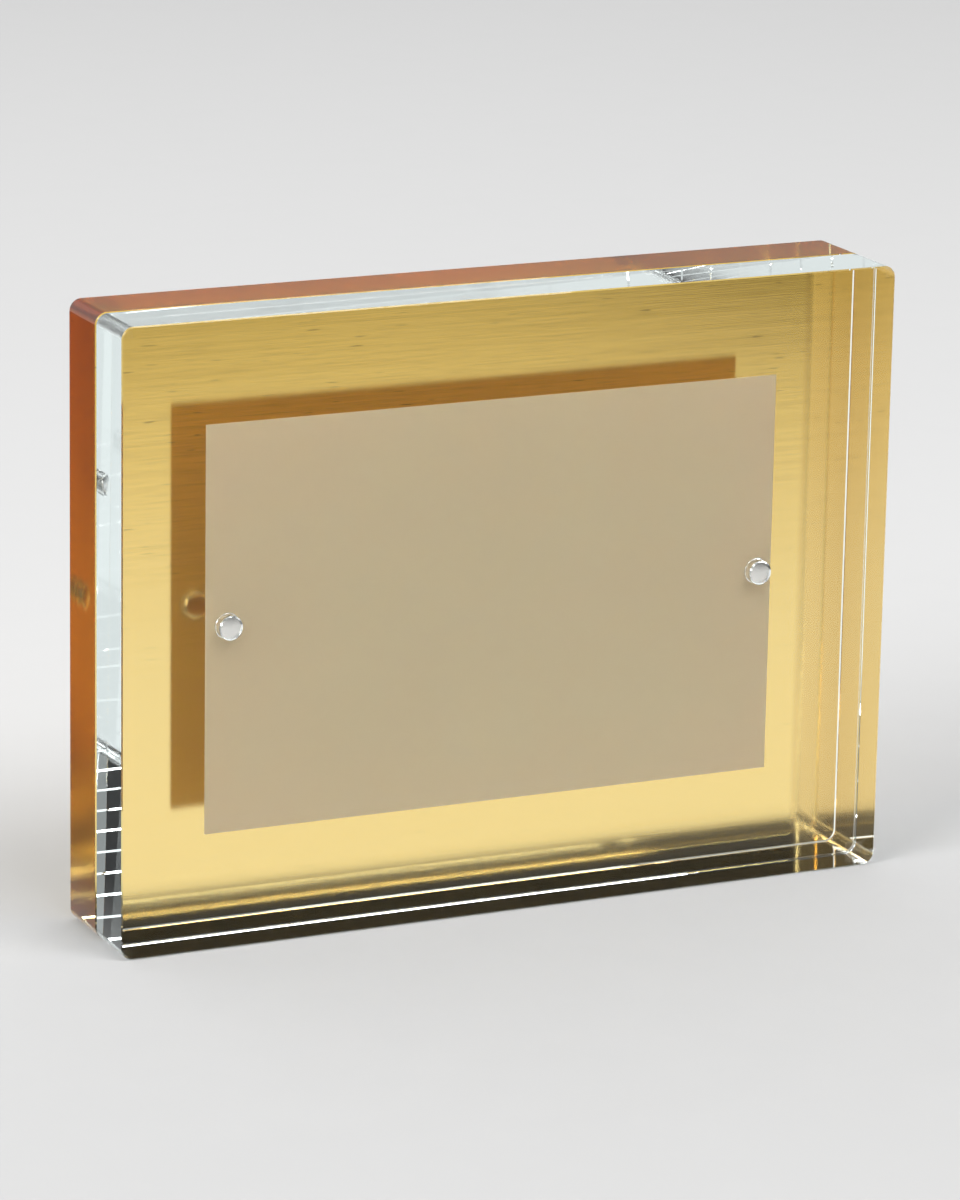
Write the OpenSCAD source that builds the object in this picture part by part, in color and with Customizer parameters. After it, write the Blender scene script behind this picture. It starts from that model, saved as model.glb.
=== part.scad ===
// Floating photo frame: two clear acrylic blocks that magnets hold together, with the
// photo between them and a brushed gold sheet bonded to the back of the rear block.
// X runs to the right, Y runs from the front to the back, Z is up. All sizes are in mm.
// The origin is on the surface that the frame stands on, under the middle of the frame.

/* [Photo] */
// Width of the photo that the frame takes
photo_w = 152.4; // [100:0.1:260]
// Height of the photo that the frame takes
photo_h = 101.6; // [60:0.1:210]
// Thickness of the card that fills the photo's place
card_t = 0.3; // [0.2:0.05:0.6]
// How far the loose card lies to the right of the middle
card_shift_x = -0.7; // [-3:0.1:3]
// How far the loose card lies above the middle
card_shift_z = -1; // [-3:0.1:3]

/* [Blocks] */
// Clear border between the photo and each side of the blocks
side_border = 26.3; // [15:0.1:50]
// Clear border above the photo, and below it
end_border = 26.7; // [15:0.1:50]
// Thickness of the front block
front_t = 16.7; // [10:0.1:30]
// Thickness of the rear block
rear_t = 17.3; // [10:0.1:30]
// Radius of the four corners of each block
corner_r = 3; // [2:0.5:8]
// Width of the polished bevel round each face of a block
bevel = 0.3; // [0.2:0.1:1]

/* [Magnets] */
// Diameter of each magnet
magnet_d = 6; // [4:0.5:9]
// Thickness of each magnet
magnet_t = 4; // [2:0.5:6]
// Bevel on the rims of each magnet
magnet_bevel = 0.3; // [0.1:0.1:0.6]
// Distance of a magnet's centre from the photo's edge
magnet_inset = 4.85; // [0:0.05:12]
// Bevel that the cutter leaves round a pocket's floor
cutter_bevel = 0.35; // [0.1:0.05:0.6]
// How much deeper the cutter's flat point leaves a pocket at its middle
cutter_point = 0.6; // [0:0.1:1.5]

/* [Gold backing] */
// Thickness of the brushed gold sheet
sheet_t = 0.4; // [0.2:0.1:1.5]
// Thickness of the clear film that bonds the sheet
film_t = 0.1; // [0.05:0.05:0.3]
// Distance of the sheet's edge inside the rear block's bevel
sheet_setback = 0.1; // [0:0.05:2]

/* [Fits] */
// Play on each face of the card between the blocks
card_play = 0.05; // [0.03:0.01:0.3]
// Clearance round a magnet in its pocket
magnet_clear = 0.05; // [0.02:0.01:0.2]
// Depth of a magnet's face below the block's inner face
magnet_sink = 0.05; // [0:0.01:0.3]
// Air between a magnet and the floor of its pocket
floor_gap = 0.35; // [0.05:0.05:1]

/* [Hidden] */
$fn = 96;
overrun = 1;

block_w = photo_w + 2 * side_border;
block_h = photo_h + 2 * end_border;
photo_gap = card_t + 2 * card_play;
frame_d = front_t + photo_gap + rear_t + film_t + sheet_t;

// Planes across the depth, from the front to the back
front_face = -frame_d / 2;
front_inner_face = front_face + front_t;
rear_inner_face = front_inner_face + photo_gap;
rear_back_face = rear_inner_face + rear_t;

sheet_inset = bevel + sheet_setback;
magnet_x = photo_w / 2 - magnet_inset;
magnet_z = block_h / 2;
pocket_r = magnet_d / 2 + magnet_clear;
pocket_depth = magnet_sink + magnet_t + floor_gap;

clear_acrylic = [0.86, 0.94, 0.95, 0.35];
gold = [0.85, 0.68, 0.36];
nickel = [0.78, 0.78, 0.76];
card_beige = [0.77, 0.70, 0.55];

// Extrudes an outline drawn in Y and Z along X, centred on the YZ plane.
module along_x(length) {
    translate([-length / 2, 0, 0]) rotate([90, 0, 90]) linear_extrude(length) children();
}

// Turns what is drawn along Z to run along Y.
module along_y() {
    rotate([-90, 0, 0]) children();
}

// Cross-section of a plate with its four edges bevelled: a by b, with one corner at the origin.
function bevelled_section(a, b, cut) = [
    [cut, 0], [a - cut, 0], [a, cut], [a, b - cut],
    [a - cut, b], [cut, b], [0, b - cut], [0, cut]
];

// Disc of radius r and thickness t along Z, with bevelled rims.
module bevelled_disc(r, t, cut_low, cut_high) {
    rotate_extrude()
        polygon([[0, 0], [r - cut_low, 0], [r, cut_low], [r, t - cut_high], [r - cut_high, t], [0, t]]);
}

// Upright plate with rounded corners and a bevel round both faces. Its front face is at Y 0.
module bevelled_plate(w, h, t, r, cut) {
    along_x(w - 2 * r) polygon(bevelled_section(t, h, cut));
    translate([-w / 2, 0, r]) linear_extrude(h - 2 * r) polygon(bevelled_section(w, t, cut));
    for (x = [r - w / 2, w / 2 - r], z = [r, h - r])
        translate([x, 0, z]) along_y() bevelled_disc(r, t, cut, cut);
}

// Thin upright sheet with rounded corners and square edges. Its front face is at Y 0.
module thin_sheet(w, h, t, r) {
    translate([0, t, 0]) rotate([90, 0, 0]) linear_extrude(t) {
        translate([-w / 2, r]) square([w, h - 2 * r]);
        translate([r - w / 2, 0]) square([w - 2 * r, h]);
        for (x = [r - w / 2, w / 2 - r], z = [r, h - r])
            translate([x, z]) circle(r);
    }
}

// Pocket for a magnet, cut from a face at Y 0 towards +Y. Its floor dips a little to the middle.
module magnet_pocket() {
    along_y() {
        rotate_extrude()
            polygon([[0, 0], [pocket_r, 0], [pocket_r, pocket_depth - cutter_bevel],
                     [pocket_r - cutter_bevel, pocket_depth], [0, pocket_depth + cutter_point]]);
        translate([0, 0, -overrun]) cylinder(r = pocket_r, h = 2 * overrun);
    }
}

// Places what is drawn at the left and the right magnet.
module at_both_magnets() {
    for (side = [-1, 1]) translate([side * magnet_x, 0, magnet_z]) children();
}

module front_block() {
    color(clear_acrylic) difference() {
        translate([0, front_face, 0]) bevelled_plate(block_w, block_h, front_t, corner_r, bevel);
        translate([0, front_inner_face, 0]) at_both_magnets() mirror([0, 1, 0]) magnet_pocket();
    }
}

module rear_block() {
    color(clear_acrylic) difference() {
        translate([0, rear_inner_face, 0]) bevelled_plate(block_w, block_h, rear_t, corner_r, bevel);
        translate([0, rear_inner_face, 0]) at_both_magnets() magnet_pocket();
    }
}

// Outline that the bonding film and the gold sheet share, inside the rear block's bevel.
module backing_layer(front, t) {
    translate([0, front, sheet_inset])
        thin_sheet(block_w - 2 * sheet_inset, block_h - 2 * sheet_inset, t,
                   max(corner_r - sheet_inset, bevel));
}

module bond_film() {
    color(clear_acrylic) backing_layer(rear_back_face, film_t);
}

module gold_sheet() {
    color(gold) backing_layer(rear_back_face + film_t, sheet_t);
}

module photo_card() {
    color(card_beige)
        translate([card_shift_x - photo_w / 2, front_inner_face + card_play, end_border + card_shift_z])
            cube([photo_w, card_t, photo_h]);
}

// Magnet on the left (side -1) or the right (side 1), whose near face is at the given Y.
module magnet(side, near_face) {
    color(nickel) translate([side * magnet_x, near_face, magnet_z])
        along_y() bevelled_disc(magnet_d / 2, magnet_t, magnet_bevel, magnet_bevel);
}

module front_magnet(side) {
    magnet(side, front_inner_face - magnet_sink - magnet_t);
}

module rear_magnet(side) {
    magnet(side, rear_inner_face + magnet_sink);
}

front_block();
rear_block();
bond_film();
gold_sheet();
photo_card();
front_magnet(-1);  // magnet_front_left
front_magnet(1);  // magnet_front_right
rear_magnet(-1);  // magnet_rear_left
rear_magnet(1);  // magnet_rear_right
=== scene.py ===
import math

import bmesh
import bpy
from mathutils import Matrix, Vector


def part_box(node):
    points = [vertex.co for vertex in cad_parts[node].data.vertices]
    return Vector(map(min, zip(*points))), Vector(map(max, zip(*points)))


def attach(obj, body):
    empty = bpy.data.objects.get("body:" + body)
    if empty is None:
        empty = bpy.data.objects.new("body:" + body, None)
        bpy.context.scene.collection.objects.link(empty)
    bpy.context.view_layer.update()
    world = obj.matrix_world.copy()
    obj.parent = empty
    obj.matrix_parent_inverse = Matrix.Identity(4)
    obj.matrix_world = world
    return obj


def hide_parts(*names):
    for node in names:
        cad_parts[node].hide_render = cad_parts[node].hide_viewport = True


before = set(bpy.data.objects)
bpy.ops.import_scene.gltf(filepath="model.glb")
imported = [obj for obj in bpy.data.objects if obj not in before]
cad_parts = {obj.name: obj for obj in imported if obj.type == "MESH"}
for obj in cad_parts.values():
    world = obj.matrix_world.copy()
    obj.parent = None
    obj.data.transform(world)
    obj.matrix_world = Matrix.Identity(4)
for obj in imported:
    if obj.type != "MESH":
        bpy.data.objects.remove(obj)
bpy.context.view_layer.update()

# The camera stands to the left of the frame and a little above it, as a product photographer
# shoots such a block: far off with a long lens, so that the edges stay nearly parallel.
CAMERA_PLACE = Vector((-0.56549, -1.19859, 0.43484))
CAMERA_AZIMUTH = math.radians(-25.21)
CAMERA_ELEVATION = math.radians(15.19)
CAMERA_ROLL = math.radians(1.03)
CAMERA_LENS = 167.45

ahead = Vector((
    -math.sin(CAMERA_AZIMUTH) * math.cos(CAMERA_ELEVATION),
    math.cos(CAMERA_AZIMUTH) * math.cos(CAMERA_ELEVATION),
    -math.sin(CAMERA_ELEVATION),
))
level = ahead.cross(Vector((0, 0, 1))).normalized()
upright = level.cross(ahead)
right = level * math.cos(CAMERA_ROLL) + upright * math.sin(CAMERA_ROLL)
up = upright * math.cos(CAMERA_ROLL) - level * math.sin(CAMERA_ROLL)

camera = bpy.data.objects.new("camera", bpy.data.cameras.new("camera"))
camera.data.sensor_fit = "AUTO"
camera.data.sensor_width = 36
camera.data.lens = CAMERA_LENS
camera.data.clip_start = 0.05
camera.data.clip_end = 60
camera.matrix_world = Matrix.Translation(CAMERA_PLACE) @ Matrix((right, up, -ahead)).transposed().to_4x4()
bpy.context.scene.collection.objects.link(camera)
bpy.context.scene.camera = camera


# The floor is a wide sheet of pale matt paper, as on a photographer's table. Its faint mottle
# is the paper's own, and it keeps the frame's shadow.
class Wire:
    """An output in a node tree. Sums written with it add Math nodes, and node() adds any other."""

    def __init__(self, tree, socket=None):
        self.tree = tree
        self.socket = socket

    def plug(self, value, socket):
        """Joins a wire, a number or a colour to an input."""
        if isinstance(value, Wire):
            self.tree.links.new(value.socket, socket)
        else:
            socket.default_value = value

    def node(self, kind, settings=None, inputs=None):
        """Adds a node, sets it up, joins its inputs, and gives its first output."""
        made = self.tree.nodes.new(kind)
        for name, value in (settings or {}).items():
            if name == "items":
                while len(made.index_switch_items) < value:
                    made.index_switch_items.new()
            else:
                setattr(made, name, value)
        for name, value in (inputs or {}).items():
            self.plug(value, made.inputs[name])
        return Wire(self.tree, made.outputs[0] if len(made.outputs) else None)

    def out(self, name):
        """Another output of the node that this wire comes from."""
        return Wire(self.tree, self.socket.node.outputs[name])

    def maths(self, operation, first, second=0.0):
        return self.node("ShaderNodeMath", {"operation": operation}, {0: first, 1: second})

    def __add__(self, other):
        return self.maths("ADD", self, other)

    def __radd__(self, other):
        return self.maths("ADD", other, self)

    def __sub__(self, other):
        return self.maths("SUBTRACT", self, other)

    def __rsub__(self, other):
        return self.maths("SUBTRACT", other, self)

    def __mul__(self, other):
        return self.maths("MULTIPLY", self, other)

    def __rmul__(self, other):
        return self.maths("MULTIPLY", other, self)

    def __truediv__(self, other):
        return self.maths("DIVIDE", self, other)

    def __neg__(self):
        return self.maths("MULTIPLY", self, -1.0)

    def power(self, other):
        return self.maths("POWER", self, other)

    def at_most(self, other):
        return self.maths("MINIMUM", self, other)

    def at_least(self, other):
        return self.maths("MAXIMUM", self, other)

    def step(self, low, high):
        """Goes smoothly from 0 where this value is low to 1 where it is high."""
        return self.node("ShaderNodeMapRange", {"interpolation_type": "SMOOTHSTEP"},
                         {"Value": self, "From Min": low, "From Max": high})

    def mixed(self, share, first, second, way="MIX"):
        """Two colours mixed or multiplied, with share as the second one's part."""
        made = self.node("ShaderNodeMix", {"data_type": "RGBA", "blend_type": way},
                         {0: share, 6: first, 7: second})
        return Wire(self.tree, made.socket.node.outputs[2])

    def blend(self, first, second):
        """Two colours mixed, with this value as the second one's share."""
        return self.mixed(self, first, second)

    def grey(self):
        """This value as a grey colour."""
        return self.node("ShaderNodeCombineColor", {}, {0: self, 1: self, 2: self})

    def relief(self):
        """The normals of a surface that stands this many metres high."""
        return self.node("ShaderNodeBump", {}, {"Strength": 1.0, "Distance": 1.0, "Height": self})


def new_finish(name):
    """An empty material and the wire that its nodes are added with."""
    finish = bpy.data.materials.new(name)
    finish.use_nodes = True
    finish.node_tree.nodes.clear()
    return finish, Wire(finish.node_tree)


def close_finish(kit, surface):
    kit.node("ShaderNodeOutputMaterial", {}, {"Surface": surface})


def object_place(kit):
    """A point's place in metres, with the outputs X, Y and Z."""
    return kit.node("ShaderNodeSeparateXYZ", {}, {0: kit.node("ShaderNodeTexCoord").out("Object")})


def grain(kit, pitch, detail=2.0, roughness=0.5):
    """Noise whose grains are as large as pitch, three sizes along X, Y and Z in metres."""
    place = kit.node("ShaderNodeTexCoord").out("Object")
    stretched = kit.node("ShaderNodeMapping", {"vector_type": "POINT"},
                         {"Vector": place, "Scale": tuple(1 / size for size in pitch)})
    return kit.node("ShaderNodeTexNoise", {"noise_dimensions": "3D"},
                    {"Vector": stretched, "Scale": 1.0, "Detail": detail, "Roughness": roughness})


FLOOR_RADIUS = 9.0
FLOOR_CORNERS = 96
FLOOR_DROP = 0.0002
# Painted shade: the paper's colour is darker at the front than behind.
FLOOR_FRONT = (0.40, 0.40, 0.40, 1)
FLOOR_BACK = (0.46, 0.46, 0.46, 1)
FRONT_TO_BACK = (-0.2, 0.3)
MOTTLE_PITCH = 0.02
MOTTLE_SHARE = 0.2

floor_finish, kit = new_finish("pale_paper")
place = object_place(kit)
across, back = place.out("X"), place.out("Y")
mottle = grain(kit, (MOTTLE_PITCH, MOTTLE_PITCH, MOTTLE_PITCH), 4.0)
paper = kit.node("ShaderNodeBsdfPrincipled", {}, {
    "Base Color": (back.step(*FRONT_TO_BACK) + (mottle - 0.5) * MOTTLE_SHARE).blend(FLOOR_FRONT, FLOOR_BACK),
    "Roughness": 0.9,
    "Specular IOR Level": 0.1,
})

# The gold and the polished faces show the floor as a plain background of strength 1. It falls off
# towards the front, most at the right, and a patch to the left of the frame and behind it is painted dark,
# as painted shade that only the glass and the gold show.
NEAR_FRONT, NEAR_FALL = (-0.15, -0.50), 0.08
FAR_FRONT, FAR_FALL = (-0.48, -0.67), 0.46
FAR_RIGHT, FAR_RIGHT_FRONT, FAR_RIGHT_FALL = (0.335, 0.455), (-0.48, -0.65), 0.44
MIDDLE_RIGHT, MIDDLE_LIFT = (0.17, 0.27), 0.14
NEAR_RIGHT, NEAR_RIGHT_FRONT, NEAR_RIGHT_FALL = (0.08, 0.28), (0.0, -0.1), 0.05
LEAST_BRIGHTNESS = 0.05
SHADE_PATCH_LEFT, SHADE_PATCH_RIGHT = (-0.62, -0.45), (-0.095, -0.125)
SHADE_PATCH_FRONT, SHADE_PATCH_BACK = (-0.03, 0.0), (0.9, 0.7)
SHADE_PATCH_DARKNESS = 0.85

far_right = across.step(*FAR_RIGHT)
far_front = back.step(*FAR_FRONT)
fall = back.step(*NEAR_FRONT) * (1.0 - far_right) * NEAR_FALL + far_front * FAR_FALL
fall = fall + back.step(*FAR_RIGHT_FRONT) * far_right * FAR_RIGHT_FALL
fall = fall - far_front * across.step(*MIDDLE_RIGHT) * (1.0 - far_right) * MIDDLE_LIFT
fall = fall + across.step(*NEAR_RIGHT) * back.step(*NEAR_RIGHT_FRONT) * NEAR_RIGHT_FALL
# Painted shade: a dark patch in the backdrop, to the left of the frame and behind it.
shade_patch = across.step(*SHADE_PATCH_LEFT) * across.step(*SHADE_PATCH_RIGHT)
shade_patch = shade_patch * back.step(*SHADE_PATCH_FRONT) * back.step(*SHADE_PATCH_BACK)
brightness = (1.0 - fall).at_least(LEAST_BRIGHTNESS) * (1.0 - shade_patch * SHADE_PATCH_DARKNESS)
backdrop = kit.node("ShaderNodeEmission", {}, {"Color": brightness.grey(), "Strength": 1.0})

# Straight through one block, which a ray enters and leaves in two steps, the paper shows as it is.
STEPS_THROUGH_ONE_BLOCK = 2
rays = kit.node("ShaderNodeLightPath")
few_steps = kit.maths("LESS_THAN", rays.out("Ray Depth"), STEPS_THROUGH_ONE_BLOCK + 0.5)
through_one_block = rays.out("Is Transmission Ray") * few_steps
seen_in_glass = rays.out("Is Glossy Ray").at_least(rays.out("Is Transmission Ray")) - through_one_block
close_finish(kit, kit.node("ShaderNodeMixShader", {}, {0: seen_in_glass, 1: paper, 2: backdrop}))

floor_form = bmesh.new()
bmesh.ops.create_circle(floor_form, cap_ends=True, segments=FLOOR_CORNERS, radius=FLOOR_RADIUS)
floor_mesh = bpy.data.meshes.new("floor")
floor_form.to_mesh(floor_mesh)
floor_form.free()
floor_mesh.materials.append(floor_finish)
floor = bpy.data.objects.new("floor", floor_mesh)
floor.location.z = -FLOOR_DROP
bpy.context.scene.collection.objects.link(floor)

# One large soft box stands high at the right front and one far round to the left, and a faint one
# hangs over the frame. The ceiling behind is bright, and the walls in front are dark.
LAMPS = {
    "front_light": (Vector((1.0, -2.4, 4.0)), 212, (3.2, 2.4)),
    "left_light": (Vector((-4.2, -1.4, 2.9)), 300, (3.2, 2.4)),
    "top_light": (Vector((0.1, 0.7, 1.7)), 7, (2.4, 2.0)),
}
LIGHT_TARGET = Vector((0.0, 0.0, 0.08))
WALL_FRONT_LEFT = 0.1
WALL_FRONT_RIGHT = 0.012
WALL_RIGHT = 0.38
WALL_LEFT = 1.0
CEILING_FRONT = 0.1
CEILING_BACK = 1.1
FRONT_TURNS_BACK = (-0.25, 0.35)
LEFT_TURNS_RIGHT = (-0.1, 0.1)
CEILING_STARTS = (0.38, 0.55)

for name, (place, power, spread) in LAMPS.items():
    lamp = bpy.data.lights.new(name, "AREA")
    lamp.shape = "RECTANGLE"
    lamp.size, lamp.size_y = spread
    lamp.energy = power
    lamp.color = (1, 1, 1)
    soft_box = bpy.data.objects.new(name, lamp)
    facing = (place - LIGHT_TARGET).to_track_quat("Z", "Y").to_matrix().to_4x4()
    soft_box.matrix_world = Matrix.Translation(place) @ facing
    bpy.context.scene.collection.objects.link(soft_box)

room = bpy.data.worlds.new("room")
room.use_nodes = True
room.node_tree.nodes.clear()
bpy.context.scene.world = room
kit = Wire(room.node_tree)
way = kit.node("ShaderNodeSeparateXYZ", {}, {"Vector": kit.node("ShaderNodeTexCoord").out("Generated")})
behind = way.out("Y").step(*FRONT_TURNS_BACK)
height = way.out("Z").step(*CEILING_STARTS)
to_right = way.out("X").step(*LEFT_TURNS_RIGHT)
back_wall = WALL_LEFT + to_right * (WALL_RIGHT - WALL_LEFT)
front_wall = WALL_FRONT_LEFT + to_right * (WALL_FRONT_RIGHT - WALL_FRONT_LEFT)
walls = front_wall + behind * (back_wall - front_wall)
ceiling = CEILING_FRONT + behind * (CEILING_BACK - CEILING_FRONT)
shade = walls + height * (ceiling - walls)
sky = kit.node("ShaderNodeBackground", {}, {"Color": shade.grey(), "Strength": 1.0})
kit.node("ShaderNodeOutputWorld", {}, {"Surface": sky})

# Light passes from wall to wall inside the blocks many times before it comes out.
cycles = bpy.context.scene.cycles
cycles.max_bounces = 48
cycles.glossy_bounces = 40
cycles.transmission_bounces = 24
cycles.diffuse_bounces = 4
cycles.transparent_max_bounces = 16
bpy.context.scene.view_settings.view_transform = "Standard"

# The two clear blocks are cut from cast acrylic, routed to a round at the corners, bevelled and
# polished on every face. Two pockets for the magnets are milled into each block's inner face.
CORNER_RADIUS = 0.003
CORNER_STEPS = 24
EDGE_BEVEL = 0.0003
POCKET_RADIUS = 0.00305
POCKET_DEPTH = 0.0044
POCKET_BEVEL = 0.00035
POCKET_POINT = 0.0006
MOUTH_BREAK = 0.00015
POCKET_STEPS = 96
WELD = 0.000002
SHARP_TURN = math.radians(20)
ACRYLIC_IOR = 1.49
FACE_TINT, FACE_SHINE, FACE_WAVE = (0.995, 1.0, 0.997, 1), 0.2, 0.0
SIDE_TINT, SIDE_SHINE, SIDE_WAVE = (0.90, 0.995, 0.985, 1), 0.5, 0.000002
WAVE_PITCH = 0.02
CORNER_HAZE = 0.22
CORNER_STARTS_ACROSS = 0.0995
CORNER_STARTS_UP = 0.0745
HAZE_FADES_IN = 0.0004
BLOCK_MIDDLE_HEIGHT = 0.0775


def clear_finish(name, tint, shine, wave_height):
    """Polished acrylic with a slow wave that the polishing left, and a faint haze on the rounds."""
    finish, kit = new_finish(name)
    wave = grain(kit, (WAVE_PITCH, WAVE_PITCH, WAVE_PITCH), 1.0)
    place = object_place(kit)
    sideways = kit.maths("ABSOLUTE", place.out("X"))
    sideways = sideways.step(CORNER_STARTS_ACROSS, CORNER_STARTS_ACROSS + HAZE_FADES_IN)
    upwards = kit.maths("ABSOLUTE", place.out("Z") - BLOCK_MIDDLE_HEIGHT)
    upwards = upwards.step(CORNER_STARTS_UP, CORNER_STARTS_UP + HAZE_FADES_IN)
    glass = kit.node("ShaderNodeBsdfPrincipled", {}, {
        "Base Color": tint,
        "Roughness": sideways * upwards * CORNER_HAZE,
        "IOR": ACRYLIC_IOR,
        "Transmission Weight": 1.0,
        "Specular Tint": (shine, shine, shine, 1),
        "Normal": (wave * wave_height).relief(),
    })
    close_finish(kit, glass)
    return finish


face_finish = clear_finish("polished_face", FACE_TINT, FACE_SHINE, FACE_WAVE)
side_finish = clear_finish("polished_side", SIDE_TINT, SIDE_SHINE, SIDE_WAVE)

# The cutter leaves a pocket's wall frosted with fine marks, and its floor with rings round the axis.
POCKET_ACROSS = 0.07135
POCKET_HEIGHT = 0.0775
WALL_ROUGHNESS = 0.22
MARK_PITCH = (0.0004, 0.0008, 0.0004)
MARK_HEIGHT = 0.00003
END_ROUGHNESS = 0.12
RING_PITCH = 0.00007
RING_HEIGHT = 0.000002


def close_milled(kit, roughness, height):
    """Ends a finish as acrylic that the cutter left rough, with a relief of this height."""
    close_finish(kit, kit.node("ShaderNodeBsdfPrincipled", {}, {
        "Base Color": FACE_TINT,
        "Roughness": roughness,
        "IOR": ACRYLIC_IOR,
        "Transmission Weight": 1.0,
        "Normal": height.relief(),
    }))


wall_finish, kit = new_finish("milled_wall")
close_milled(kit, WALL_ROUGHNESS, grain(kit, MARK_PITCH, 2.0) * MARK_HEIGHT)

end_finish, kit = new_finish("milled_end")
place = object_place(kit)
side = kit.maths("ABSOLUTE", place.out("X")) - POCKET_ACROSS
rise = place.out("Z") - POCKET_HEIGHT
from_axis = (side * side + rise * rise).power(0.5)
rings = kit.maths("SINE", from_axis * (math.tau / RING_PITCH))
close_milled(kit, END_ROUGHNESS, rings * RING_HEIGHT)

# Behind the rear block's outer face lies the gold, which is bonded so close that the face itself
# looks like the metal. Its grains are long from side to side, and its colour is painted deeper towards the
# top and darker along its right end, as painted shade.
GOLD_LOW = (0.94, 0.715, 0.285, 1)
GOLD_HIGH = (0.92, 0.62, 0.145, 1)
GOLD_SHADE_RISES = (0.05, 0.16)
GOLD_RIGHT_END_SHADE = (0.80, 0.74, 0.68, 1)
RIGHT_END_SHADE_STARTS, RIGHT_END_SHADE_START_SHARE = (0.0885, 0.0905), 0.65
RIGHT_END_SHADE_DEEPENS, RIGHT_END_SHADE_DEEPER_SHARE = (0.0905, 0.1025), 0.35
FINE_BRUSHING = (0.03, 1.0, 0.00025)
COARSE_BRUSHING = (0.12, 1.0, 0.0012)
BRUSHING_SHARE = 0.6
BRUSHING_HEIGHT = 0.000006
STREAK_PITCH, STREAK_EDGE, STREAK_DEPTH = (0.010, 1.0, 0.00035), (0.45, 0.75), 0.10
SCRATCH_PITCH, SCRATCH_EDGE, SCRATCH_DEPTH = (0.006, 1.0, 0.0006), (0.75, 0.81), 0.35
BAND_EDGE, BAND_DEPTH = (0.45, 0.65), 0.06
DARKER_MARKS_RISE = (0.05, 0.14)
LOWEST_MARK_SHARE = 0.15
FACE_GOLD_ROUGHNESS = 0.10


def brushed_gold(name, roughness, right_end_shade_share):
    """Gold anodised metal brushed from side to side, with more streaks and scratches higher up, and painted
    shade at its top and right end.
    """
    finish, kit = new_finish(name)
    fine = grain(kit, FINE_BRUSHING, 3.0, 0.6)
    coarse = grain(kit, COARSE_BRUSHING, 3.0, 0.6)
    streaks = grain(kit, STREAK_PITCH, 1.0, 0.5)
    scratches = grain(kit, SCRATCH_PITCH, 0.0)
    place = object_place(kit)
    # Painted shade: the gold is deeper towards the top, mixed with the brushing's own grain.
    shade_and_brushing = place.out("Z").step(*GOLD_SHADE_RISES) + (fine * 0.5 + coarse * 0.5 - 0.5) * BRUSHING_SHARE
    # Painted shade: the gold's right end is multiplied darker.
    right_end_shade = place.out("X").step(*RIGHT_END_SHADE_STARTS) * RIGHT_END_SHADE_START_SHARE
    right_end_shade = right_end_shade + place.out("X").step(*RIGHT_END_SHADE_DEEPENS) * RIGHT_END_SHADE_DEEPER_SHARE
    right_end_shade = right_end_shade * right_end_shade_share
    shaded = kit.mixed(right_end_shade, shade_and_brushing.blend(GOLD_LOW, GOLD_HIGH), GOLD_RIGHT_END_SHADE, "MULTIPLY")
    # Streaks, scratches and a broad band darken the colour, and more so towards the top.
    higher_share = place.out("Z").step(*DARKER_MARKS_RISE)
    cuts = streaks.step(*STREAK_EDGE) * STREAK_DEPTH + scratches.step(*SCRATCH_EDGE) * SCRATCH_DEPTH
    depth = 1.0 - cuts * (LOWEST_MARK_SHARE + higher_share * (1.0 - LOWEST_MARK_SHARE))
    depth = depth - coarse.step(*BAND_EDGE) * higher_share * BAND_DEPTH
    metal = kit.node("ShaderNodeBsdfPrincipled", {}, {
        "Base Color": kit.mixed(1.0, shaded, depth.grey(), "MULTIPLY"),
        "Metallic": 1.0,
        "Roughness": roughness,
        "Anisotropic": 0.85,
        "Anisotropic Rotation": 0.25,
        "Normal": (fine * BRUSHING_HEIGHT).relief(),
    })
    close_finish(kit, metal)
    return finish


gold_finish = brushed_gold("brushed_gold", FACE_GOLD_ROUGHNESS, 1.0)


def shape_tree(name, sizes):
    """A geometry tree with named sizes, and its wires by name."""
    tree = bpy.data.node_groups.new(name, "GeometryNodeTree")
    tree.interface.new_socket("Shape", in_out="OUTPUT", socket_type="NodeSocketGeometry")
    for label, kind in sizes.items():
        tree.interface.new_socket(label, in_out="INPUT", socket_type="NodeSocket" + kind)
    given = tree.nodes.new("NodeGroupInput")
    kit = Wire(tree)
    return kit, {label: Wire(tree, given.outputs[label]) for label in sizes}


def joined(kit, parts):
    made = kit.node("GeometryNodeJoinGeometry")
    for part in parts:
        kit.tree.links.new(part.socket, made.socket.node.inputs[0])
    return made


def profile(kit, corners):
    """Open line through corners, each given as its height along and its reach away from a path."""
    places = kit.node("GeometryNodeIndexSwitch", {"data_type": "VECTOR", "items": len(corners)},
                      {"Index": kit.node("GeometryNodeInputIndex")})
    for number, (height, reach) in enumerate(corners):
        point = kit.node("ShaderNodeCombineXYZ", {}, {0: reach, 1: -height})
        kit.plug(point, places.socket.node.inputs[str(number)])
    points = kit.node("GeometryNodePoints", {}, {"Count": len(corners), "Position": places})
    return kit.node("GeometryNodePointsToCurves", {}, {"Points": points})


def swept(kit, path, corners, finish):
    skin = kit.node("GeometryNodeCurveToMesh", {}, {"Curve": path, "Profile Curve": profile(kit, corners)})
    return kit.node("GeometryNodeSetMaterial", {}, {"Geometry": skin, "Material": finish})


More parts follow.
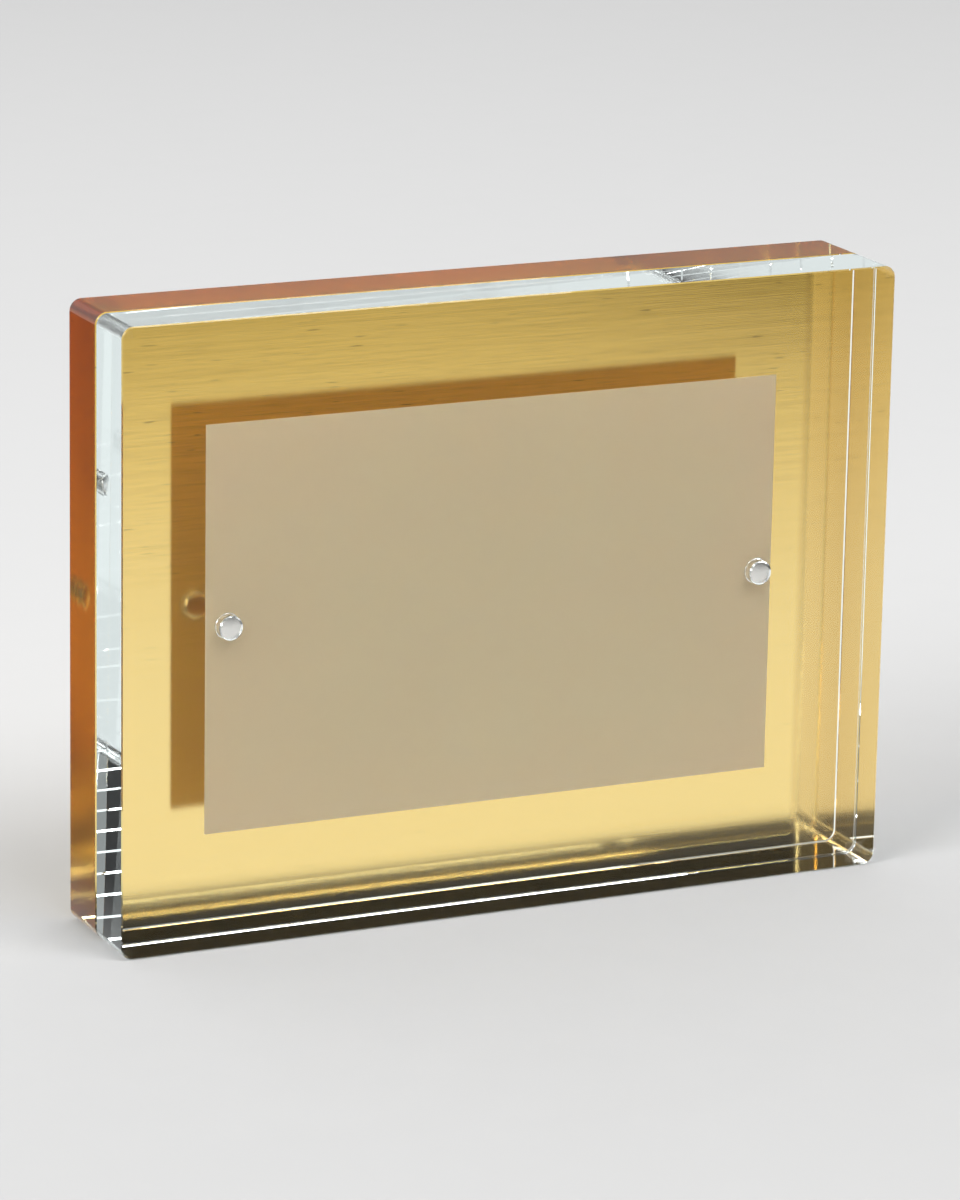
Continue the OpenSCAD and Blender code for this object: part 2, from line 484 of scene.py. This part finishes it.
def cast(name, tree, values):
    """One solid made by a tree with these sizes, as a plain mesh at the origin."""
    blank = bpy.data.objects.new(name + "_blank", bpy.data.meshes.new(name + "_blank"))
    bpy.context.scene.collection.objects.link(blank)
    shaper = blank.modifiers.new("shape", "NODES")
    shaper.node_group = tree
    for item in tree.interface.items_tree:
        if item.item_type == "SOCKET" and item.in_out == "INPUT":
            shaper[item.identifier] = values[item.name]
    ready = blank.evaluated_get(bpy.context.evaluated_depsgraph_get())
    mesh = bpy.data.meshes.new_from_object(ready)
    blank.modifiers.remove(shaper)
    bpy.data.objects.remove(blank)
    mesh.name = name
    form = bmesh.new()
    form.from_mesh(mesh)
    bmesh.ops.remove_doubles(form, verts=form.verts, dist=WELD)
    bmesh.ops.recalc_face_normals(form, faces=form.faces)
    form.to_mesh(mesh)
    form.free()
    mesh.shade_smooth()
    mesh.set_sharp_from_angle(angle=SHARP_TURN)
    solid = bpy.data.objects.new(name, mesh)
    bpy.context.scene.collection.objects.link(solid)
    return solid


kit, size = shape_tree("bevelled_block", {
    "Width": "Float", "Height": "Float", "Thickness": "Float", "Corner Radius": "Float",
    "Bevel": "Float", "Mouth Break": "Float",
    "Pocket Radius": "Float", "Pocket Depth": "Float", "Pocket Bevel": "Float", "Pocket Point": "Float",
    "Pocket Left": "Float", "Pocket Right": "Float",
    "Middle": "Vector", "Turn": "Rotation",
    "Face Finish": "Material", "Side Finish": "Material", "Outer Finish": "Material",
    "Wall Finish": "Material", "End Finish": "Material",
})
rim = kit.node("GeometryNodeCurvePrimitiveQuadrilateral", {},
               {"Width": size["Width"], "Height": size["Height"]})
rim = kit.node("GeometryNodeFilletCurve", {"mode": "POLY"},
               {"Curve": rim, "Count": CORNER_STEPS, "Radius": size["Corner Radius"]})
sides = swept(kit, rim, [
    (0.0, -size["Bevel"]),
    (size["Bevel"], 0.0),
    (size["Thickness"] - size["Bevel"], 0.0),
    (size["Thickness"], -size["Bevel"]),
], size["Side Finish"])
edge_faces = kit.node("GeometryNodeInputMeshEdgeNeighbors")
lone_edges = kit.node("FunctionNodeCompare", {"data_type": "INT", "operation": "EQUAL"},
                      {2: edge_faces, 3: 1})
depth_here = kit.node("ShaderNodeSeparateXYZ", {}, {0: kit.node("GeometryNodeInputPosition")}).out("Z")
near_end = kit.node("FunctionNodeCompare", {"data_type": "FLOAT", "operation": "LESS_THAN"},
                    {0: depth_here, 1: size["Thickness"] * 0.5})
far_end = kit.node("FunctionNodeBooleanMath", {"operation": "NOT"}, {0: near_end})
inner_rim, outer_rim = (
    kit.node("GeometryNodeMeshToCurve", {}, {
        "Mesh": sides,
        "Selection": kit.node("FunctionNodeBooleanMath", {"operation": "AND"}, {0: lone_edges, 1: part}),
    })
    for part in (near_end, far_end)
)
outer_face = kit.node("GeometryNodeFillCurve", {"mode": "NGONS"}, {"Curve": outer_rim})
outer_place = kit.node("ShaderNodeCombineXYZ", {}, {2: size["Thickness"]})
outer_face = kit.node("GeometryNodeTransform", {}, {"Geometry": outer_face, "Translation": outer_place})
outer_face = kit.node("GeometryNodeSetMaterial", {},
                      {"Geometry": outer_face, "Material": size["Outer Finish"]})

ring = kit.node("GeometryNodeCurvePrimitiveCircle", {"mode": "RADIUS"},
                {"Resolution": POCKET_STEPS, "Radius": size["Pocket Radius"]})
mouth_ring = kit.node("GeometryNodeCurvePrimitiveCircle", {"mode": "RADIUS"},
                      {"Resolution": POCKET_STEPS, "Radius": size["Pocket Radius"] + size["Mouth Break"]})
wall = swept(kit, ring, [
    (0.0, size["Mouth Break"]),
    (size["Mouth Break"], 0.0),
    (size["Pocket Depth"] - size["Pocket Bevel"], 0.0),
], size["Wall Finish"])
end = swept(kit, ring, [
    (size["Pocket Depth"] - size["Pocket Bevel"], 0.0),
    (size["Pocket Depth"], -size["Pocket Bevel"]),
    (size["Pocket Depth"] + size["Pocket Point"], -size["Pocket Radius"]),
], size["End Finish"])
pocket = joined(kit, [wall, end])
mouths, pockets = [], []
for label in ("Pocket Left", "Pocket Right"):
    place = kit.node("ShaderNodeCombineXYZ", {}, {0: size[label]})
    mouths.append(kit.node("GeometryNodeTransform", {}, {"Geometry": mouth_ring, "Translation": place}))
    pockets.append(kit.node("GeometryNodeTransform", {}, {"Geometry": pocket, "Translation": place}))
inner_face = kit.node("GeometryNodeFillCurve", {"mode": "TRIANGLES"},
                      {"Curve": joined(kit, [inner_rim] + mouths)})
inner_face = kit.node("GeometryNodeSetMaterial", {},
                      {"Geometry": inner_face, "Material": size["Face Finish"]})
body = kit.node("GeometryNodeMergeByDistance", {}, {
    "Geometry": joined(kit, [sides, outer_face, inner_face] + pockets), "Distance": WELD,
})
body = kit.node("GeometryNodeTransform", {},
                {"Geometry": body, "Translation": size["Middle"], "Rotation": size["Turn"]})
body = kit.node("GeometryNodeRealizeInstances", {}, {"Geometry": body})
kit.node("NodeGroupOutput", {}, {"Shape": body})
block_tree = kit.tree


def block(name, node, inner_side, outer_finish):
    """A clear block in the place of a CAD block whose pockets open towards inner_side along Y."""
    low, high = (Vector(corner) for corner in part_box(node))
    inner_y = high.y if inner_side > 0 else low.y
    magnets = [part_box(other) for other in ("magnet_front_left", "magnet_front_right")]
    places = [(Vector(box[0]).x + Vector(box[1]).x) / 2 for box in magnets]
    return cast(name, block_tree, {
        "Width": high.x - low.x,
        "Height": high.z - low.z,
        "Thickness": high.y - low.y,
        "Corner Radius": CORNER_RADIUS,
        "Bevel": EDGE_BEVEL,
        "Mouth Break": MOUTH_BREAK,
        "Pocket Radius": POCKET_RADIUS,
        "Pocket Depth": POCKET_DEPTH,
        "Pocket Bevel": POCKET_BEVEL,
        "Pocket Point": POCKET_POINT,
        "Pocket Left": places[0],
        "Pocket Right": places[1],
        "Middle": (0.0, inner_y, (low.z + high.z) / 2),
        "Turn": (math.radians(90 * inner_side), 0.0, 0.0),
        "Face Finish": face_finish,
        "Side Finish": side_finish,
        "Outer Finish": outer_finish,
        "Wall Finish": wall_finish,
        "End Finish": end_finish,
    })


rear_block = block("rear_block_clear", "rear_block", -1, gold_finish)
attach(rear_block, "rear_half")
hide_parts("rear_block")

front_block = block("front_block_clear", "front_block", 1, face_finish)
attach(front_block, "front_half")
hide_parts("front_block")

# A clear pressure-sensitive film bonds the gold sheet to the polished back of the rear block. It is
# pressed on without bubbles, so through the block the sheet shows as if cast into it.
FILM_CLEARANCE = 0.00001
FILM_PALE = (0.86, 0.80, 0.62, 1)
FILM_DEEP = (0.80, 0.74, 0.55, 1)
HAZE_PITCH = 0.004

film_finish, kit = new_finish("bonding_film")
haze = grain(kit, (HAZE_PITCH, HAZE_PITCH, HAZE_PITCH), 2.0)
film_shell = kit.node("ShaderNodeBsdfPrincipled", {}, {
    "Base Color": haze.blend(FILM_PALE, FILM_DEEP),
    "Roughness": 0.4,
})
close_finish(kit, film_shell)

# The film stops a little inside the block's edge all round, and its corners' radius is smaller by as much.
film_low, film_high = (Vector(corner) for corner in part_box("bond_film"))
film_corner = CORNER_RADIUS - film_low.z


def rounded_outline(low, high, radius, steps):
    """Corner points of an upright rounded rectangle, as pairs of X and Z."""
    corners = [(high.x - radius, high.z - radius, 0), (low.x + radius, high.z - radius, 90),
               (low.x + radius, low.z + radius, 180), (high.x - radius, low.z + radius, 270)]
    points = []
    for x, z, start in corners:
        for step in range(steps + 1):
            turn = math.radians(start + 90 * step / steps)
            points.append((x + radius * math.cos(turn), z + radius * math.sin(turn)))
    return points


film_outline = rounded_outline(film_low, film_high, film_corner, CORNER_STEPS)
film_form = bmesh.new()
front_rim, back_rim = (
    [film_form.verts.new((x, y, z)) for x, z in film_outline]
    for y in (film_low.y + FILM_CLEARANCE, film_high.y - FILM_CLEARANCE)
)
film_form.faces.new(front_rim)
film_form.faces.new(back_rim)
for here in range(len(front_rim)):
    film_form.faces.new((front_rim[here - 1], front_rim[here], back_rim[here], back_rim[here - 1]))
bmesh.ops.recalc_face_normals(film_form, faces=film_form.faces)
film_mesh = bpy.data.meshes.new("bond_film_clear")
film_form.to_mesh(film_mesh)
film_form.free()
film_mesh.materials.append(film_finish)
film = bpy.data.objects.new("bond_film_clear", film_mesh)
bpy.context.scene.collection.objects.link(film)
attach(film, "rear_half")
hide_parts("bond_film")

# The gold sheet is thin anodised metal, brushed from side to side, and covers the whole back inside
# the bevel. It is flat and cut square, so it keeps its plain form.
BACK_ROUGHNESS = 0.35

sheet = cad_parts["gold_sheet"]
sheet.data.materials.clear()
sheet.data.materials.append(brushed_gold("satin_gold_back", BACK_ROUGHNESS, 0.0))

# The magnets are nickel-plated discs, turned with a small bevel on both rims. Each half holds two,
# glued into its pockets so that the pairs pull on each other across the gap.
MAGNET_BEVEL = 0.0003
MAGNET_STEPS = 64
PLATE_BRIGHT = (0.80, 0.79, 0.76, 1)
PLATE_DULL = (0.70, 0.69, 0.66, 1)
CLOUD_PITCH = 0.0012
LINE_PITCH = (0.0008, 0.00006, 0.0008)
LINE_HEIGHT = 0.000002

nickel_finish, kit = new_finish("nickel_plate")
cloud = grain(kit, (CLOUD_PITCH, CLOUD_PITCH, CLOUD_PITCH), 3.0)
metal = kit.node("ShaderNodeBsdfPrincipled", {}, {
    "Base Color": cloud.blend(PLATE_BRIGHT, PLATE_DULL),
    "Metallic": 1.0,
    "Roughness": 0.16 + cloud * 0.1,
    "Normal": (grain(kit, LINE_PITCH, 2.0) * LINE_HEIGHT).relief(),
})
close_finish(kit, metal)

kit, size = shape_tree("magnet_pair", {
    "Radius": "Float", "Thickness": "Float", "Bevel": "Float", "Spacing": "Float",
    "Middle": "Vector", "Finish": "Material",
})
ring = kit.node("GeometryNodeCurvePrimitiveCircle", {"mode": "RADIUS"},
                {"Resolution": MAGNET_STEPS, "Radius": size["Radius"]})
skin = swept(kit, ring, [
    (0.0, -size["Radius"]),
    (0.0, -size["Bevel"]),
    (size["Bevel"], 0.0),
    (size["Thickness"] - size["Bevel"], 0.0),
    (size["Thickness"], -size["Bevel"]),
    (size["Thickness"], -size["Radius"]),
], size["Finish"])
half_spacing = size["Spacing"] * 0.5
row_start = kit.node("ShaderNodeCombineXYZ", {}, {0: -half_spacing})
row_step = kit.node("ShaderNodeCombineXYZ", {}, {0: size["Spacing"]})
row = kit.node("GeometryNodeMeshLine", {"mode": "OFFSET"},
               {"Count": 2, "Start Location": row_start, "Offset": row_step})
pair = kit.node("GeometryNodeInstanceOnPoints", {}, {"Points": row, "Instance": skin})
pair = kit.node("GeometryNodeRealizeInstances", {}, {"Geometry": pair})
pair = kit.node("GeometryNodeTransform", {}, {
    "Geometry": pair, "Translation": size["Middle"], "Rotation": (math.radians(-90), 0.0, 0.0),
})
pair = kit.node("GeometryNodeSetMaterial", {}, {"Geometry": pair, "Material": size["Finish"]})
kit.node("NodeGroupOutput", {}, {"Shape": pair})
pair_tree = kit.tree

for half, body in (("front", "front_half"), ("rear", "rear_half")):
    nodes = ["magnet_" + half + "_left", "magnet_" + half + "_right"]
    left, right = ([Vector(corner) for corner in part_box(node)] for node in nodes)
    pair = cast(half + "_magnets", pair_tree, {
        "Radius": (left[1].x - left[0].x) / 2,
        "Thickness": left[1].y - left[0].y,
        "Bevel": MAGNET_BEVEL,
        "Spacing": right[0].x - left[0].x,
        "Middle": ((left[0].x + right[1].x) / 2, left[0].y, (left[0].z + left[1].z) / 2),
        "Finish": nickel_finish,
    })
    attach(pair, body)
    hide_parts(*nodes)

# The card is a loose sheet of plain board, cut to the photo's size and held between the blocks. It
# is bare and a little uneven in tone.
CARD_MIDDLE = (1.0, 0.91, 0.66, 1)
CARD_EDGE = (1.0, 0.87, 0.64, 1)
CARD_GLOW = (1.0, 0.85, 0.42, 1)
GLOW_SHARE = 0.41
CARD_HALF_WIDTH = 0.0762
CARD_HALF_HEIGHT = 0.0508
CARD_MIDDLE_HEIGHT = 0.0765
EDGE_POWER = 3.0
SIDE_EDGE_SHARE = 0.8
UPPER_EDGE_SHARE = 0.5
UNEVEN_PITCH = 0.03
UNEVEN_SHARE = 1.2
FIBRE_PITCH = (0.0006, 0.0006, 0.0003)
FIBRE_HEIGHT = 0.00001
FIBRE_SHADE = 0.06

card_finish, kit = new_finish("plain_card")
place = object_place(kit)
side = kit.maths("ABSOLUTE", place.out("X")) / CARD_HALF_WIDTH
rise = kit.maths("ABSOLUTE", place.out("Z") - CARD_MIDDLE_HEIGHT) / CARD_HALF_HEIGHT
uneven = grain(kit, (UNEVEN_PITCH, UNEVEN_PITCH, UNEVEN_PITCH), 2.0) - 0.5
edge = side.power(EDGE_POWER) * SIDE_EDGE_SHARE + rise.power(EDGE_POWER) * UPPER_EDGE_SHARE
edge = (edge + uneven * UNEVEN_SHARE).at_most(1.0).at_least(0.0)
fibres = grain(kit, FIBRE_PITCH, 3.0, 0.6)
speck = (1.0 - FIBRE_SHADE / 2) + fibres * FIBRE_SHADE
card = kit.node("ShaderNodeBsdfPrincipled", {}, {
    "Base Color": kit.mixed(1.0, edge.blend(CARD_MIDDLE, CARD_EDGE), speck.grey(), "MULTIPLY"),
    "Roughness": 0.8,
    "Specular IOR Level": 0.2,
    "Normal": (fibres * FIBRE_HEIGHT).relief(),
})
glow = kit.node("ShaderNodeBsdfTranslucent", {}, {"Color": CARD_GLOW})
close_finish(kit, kit.node("ShaderNodeMixShader", {}, {0: GLOW_SHARE, 1: card, 2: glow}))
loose_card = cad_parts["photo_card"]
loose_card.data.materials.clear()
loose_card.data.materials.append(card_finish)

bpy.context.view_layer.update()
